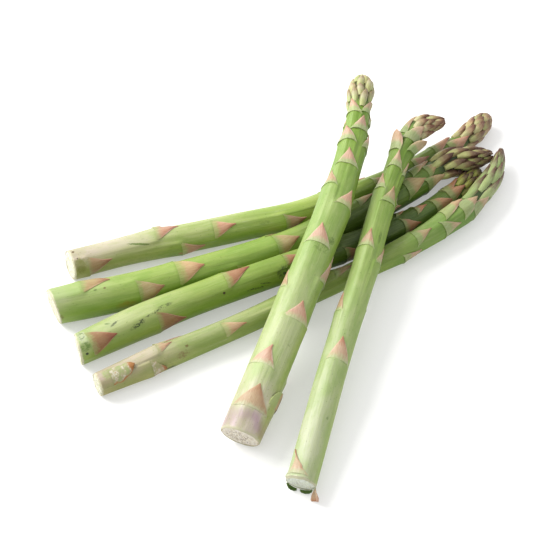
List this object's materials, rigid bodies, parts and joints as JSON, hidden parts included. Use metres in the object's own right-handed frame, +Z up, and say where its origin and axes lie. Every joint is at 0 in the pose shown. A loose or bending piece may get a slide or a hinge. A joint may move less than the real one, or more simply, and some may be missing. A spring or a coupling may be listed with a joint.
{
  "type": "bundle of asparagus",
  "caption": "Loose bundle of fresh asparagus spears lying in a low pile, some laid across the others, with triangular scales and packed heads.",
  "frame": {"origin": "centre of the pile's bounding box in X and Y, at the table that it lies on", "axes": "+Z up from the table; -Y towards the viewer of the picture; the lower spears run from -X to +X, the two upper ones run roughly along +Y"},
  "size_m": [0.2022, 0.2036, 0.0346],
  "materials": {
    "green_spear": "fresh waxy skin, soft sheen",
    "pale_spear": "fresh waxy skin, soft sheen, paler"
  },
  "bodies": {
    "root": {"spear_a": "green_spear", "spear_b": "green_spear", "spear_c": "green_spear", "spear_d": "green_spear", "spear_e": "pale_spear", "spear_f": "pale_spear"}
  },
  "joints": []
}
